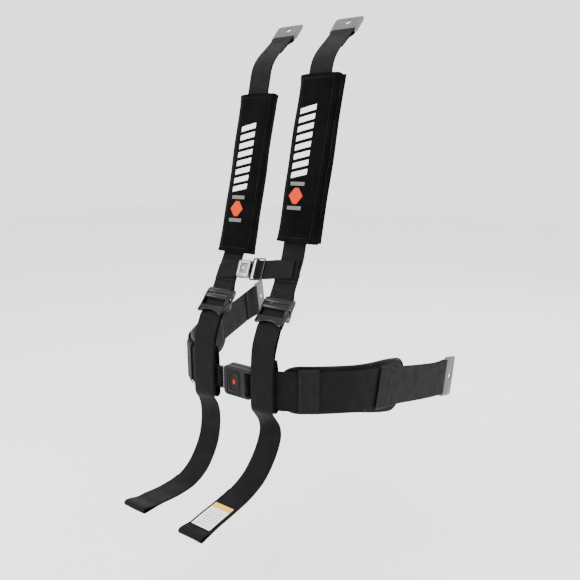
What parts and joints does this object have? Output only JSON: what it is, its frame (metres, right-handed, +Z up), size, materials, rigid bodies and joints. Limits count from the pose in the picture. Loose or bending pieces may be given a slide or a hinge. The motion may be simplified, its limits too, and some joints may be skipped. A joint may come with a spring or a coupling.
{
  "type": "racing harness",
  "caption": "Four-point racing harness, padded shoulder and lap belts with tilt-lock adjusters and a push-button lap buckle.",
  "frame": {"origin": "middle of the wearer's waist, level with the lap belt", "axes": "+X to the wearer's left, which is the viewer's right, -Y to the front, +Z up"},
  "size_m": [0.5337, 0.645, 0.873],
  "materials": {
    "web_black": "matte woven",
    "pad_cloth": "matte knit",
    "hip_cloth": "matte laminated",
    "pad_foam": "matte",
    "steel_black": "satin",
    "steel_bright": "polished",
    "steel_plated": "satin",
    "plastic_dark": "fine texture",
    "indicator_red": "glossy",
    "label_cloth": "printed satin"
  },
  "bodies": {
    "root": {"left_shoulder_webbing": "web_black", "left_tail_webbing": "web_black", "left_load_webbing": "web_black", "left_lap_webbing": "web_black", "left_hip_pad": "hip_cloth", "left_hip_keeper_1": "web_black", "left_hip_keeper_2": "web_black", "left_chest_patch": "web_black", "right_shoulder_webbing": "web_black", "right_tail_webbing": "web_black", "right_tail_label": "label_cloth", "right_load_webbing": "web_black", "right_lap_webbing": "web_black", "right_hip_pad": "hip_cloth", "right_hip_keeper_1": "web_black", "right_hip_keeper_2": "web_black", "right_chest_patch": "web_black", "lap_buckle_rear_shell": "plastic_dark", "lap_buckle_front_cover": "plastic_dark", "lap_buckle_spring": "steel_plated", "lap_buckle_frame": "steel_plated", "lap_buckle_ejector_spring": "steel_plated", "chest_buckle_cover": "steel_bright", "chest_buckle_base": "steel_plated", "chest_buckle_spring": "steel_plated", "chest_buckle_tongue": "steel_black", "left_chest_webbing": "web_black", "right_chest_webbing": "web_black"},
    "left_adjuster": {"left_adjuster_frame": "steel_black"},
    "left_lock_bar": {"left_adjuster_lock_bar": "steel_black", "left_adjuster_webbing": "web_black"},
    "left_shoulder_pad": {"left_shoulder_pad_cover": "pad_cloth", "left_shoulder_pad_front_foam": "pad_foam", "left_shoulder_pad_back_foam": "pad_foam", "left_shoulder_pad_closure": "pad_cloth"},
    "left_shoulder_anchor": {"left_shoulder_anchor": "steel_plated"},
    "left_lap_anchor": {"left_lap_anchor": "steel_plated"},
    "right_adjuster": {"right_adjuster_frame": "steel_black"},
    "right_lock_bar": {"right_adjuster_lock_bar": "steel_black", "right_adjuster_webbing": "web_black"},
    "right_shoulder_pad": {"right_shoulder_pad_cover": "pad_cloth", "right_shoulder_pad_front_foam": "pad_foam", "right_shoulder_pad_back_foam": "pad_foam", "right_shoulder_pad_closure": "pad_cloth"},
    "right_shoulder_anchor": {"right_shoulder_anchor": "steel_plated"},
    "right_lap_anchor": {"right_lap_anchor": "steel_plated"},
    "lap_button": {"lap_buckle_button": "plastic_dark", "lap_buckle_indicator": "indicator_red"},
    "lap_latch": {"lap_buckle_latch": "steel_plated"},
    "lap_tongue": {"lap_buckle_tongue": "steel_plated", "left_tongue_webbing": "web_black"},
    "lap_ejector": {"lap_buckle_ejector": "plastic_dark"},
    "chest_button": {"chest_buckle_button": "steel_bright"},
    "chest_latch": {"chest_buckle_latch": "steel_plated"}
  },
  "joints": [
    {"name": "left_adjuster_tilt", "type": "hinge", "parent": "root", "child": "left_adjuster", "pos_m": [-0.07, -0.072, 0.152], "axis": [1, 0, 0], "range_deg": [-25, 8]},
    {"name": "left_lock_bar_slide", "type": "slide", "parent": "left_adjuster", "child": "left_lock_bar", "axis": [0, 0.6769, 0.7361], "range_m": [0, 0.002]},
    {"name": "left_pad_slide", "type": "slide", "parent": "root", "child": "left_shoulder_pad", "axis": [0, 0.2588, 0.9659], "range_m": [-0.002, 0.03]},
    {"name": "left_shoulder_anchor_swing", "type": "hinge", "parent": "root", "child": "left_shoulder_anchor", "pos_m": [-0.07, 0.134, 0.642], "axis": [1, 0, 0], "range_deg": [-20, 20]},
    {"name": "right_adjuster_tilt", "type": "hinge", "parent": "root", "child": "right_adjuster", "pos_m": [0.07, -0.072, 0.152], "axis": [1, 0, 0], "range_deg": [-25, 8]},
    {"name": "right_lock_bar_slide", "type": "slide", "parent": "right_adjuster", "child": "right_lock_bar", "axis": [0, 0.6769, 0.7361], "range_m": [0, 0.002]},
    {"name": "right_pad_slide", "type": "slide", "parent": "root", "child": "right_shoulder_pad", "axis": [0, 0.2588, 0.9659], "range_m": [-0.018, 0.006]},
    {"name": "right_shoulder_anchor_swing", "type": "hinge", "parent": "root", "child": "right_shoulder_anchor", "pos_m": [0.07, 0.134, 0.642], "axis": [1, 0, 0], "range_deg": [-20, 20]},
    {"name": "left_lap_anchor_swing", "type": "hinge", "parent": "root", "child": "left_lap_anchor", "pos_m": [-0.25814, 0.27039, 0.03949], "axis": [0.0284, -0.1846, 0.9824], "range_deg": [-20, 20]},
    {"name": "right_lap_anchor_swing", "type": "hinge", "parent": "root", "child": "right_lap_anchor", "pos_m": [0.25815, 0.27042, -0.06035], "axis": [0.0256, 0.1666, 0.9857], "range_deg": [-20, 20]},
    {"name": "lap_button_press", "type": "slide", "parent": "root", "child": "lap_button", "axis": [0, 1, 0], "range_m": [0, 0.003], "stiffness_N_per_m": 600, "springref_m": -0.001, "deforming": ["lap_buckle_spring"]},
    {"name": "lap_latch_slide", "type": "slide", "parent": "root", "child": "lap_latch", "axis": [0, 1, 0], "range_m": [0, 0.003]},
    {"name": "lap_tongue_eject", "type": "slide", "parent": "root", "child": "lap_tongue", "axis": [1, 0, 0], "range_m": [-0.006, 0]},
    {"name": "lap_ejector_slide", "type": "slide", "parent": "root", "child": "lap_ejector", "axis": [1, 0, 0], "range_m": [-0.006, 0], "deforming": ["lap_buckle_ejector_spring"]},
    {"name": "chest_button_press", "type": "slide", "parent": "root", "child": "chest_button", "axis": [0, 0.866, -0.5], "range_m": [0, 0.0018], "stiffness_N_per_m": 800, "springref_m": -0.001, "deforming": ["chest_buckle_spring"]},
    {"name": "chest_latch_slide", "type": "slide", "parent": "root", "child": "chest_latch", "axis": [0, 0.866, -0.5], "range_m": [0, 0.0018]}
  ],
  "couplings": [
    {"joint": "lap_latch_slide", "follows": "lap_button_press", "ratio": 1},
    {"joint": "lap_tongue_eject", "follows": "lap_button_press", "ratio": -2},
    {"joint": "lap_ejector_slide", "follows": "lap_button_press", "ratio": -2},
    {"joint": "chest_latch_slide", "follows": "chest_button_press", "ratio": 1}
  ]
}
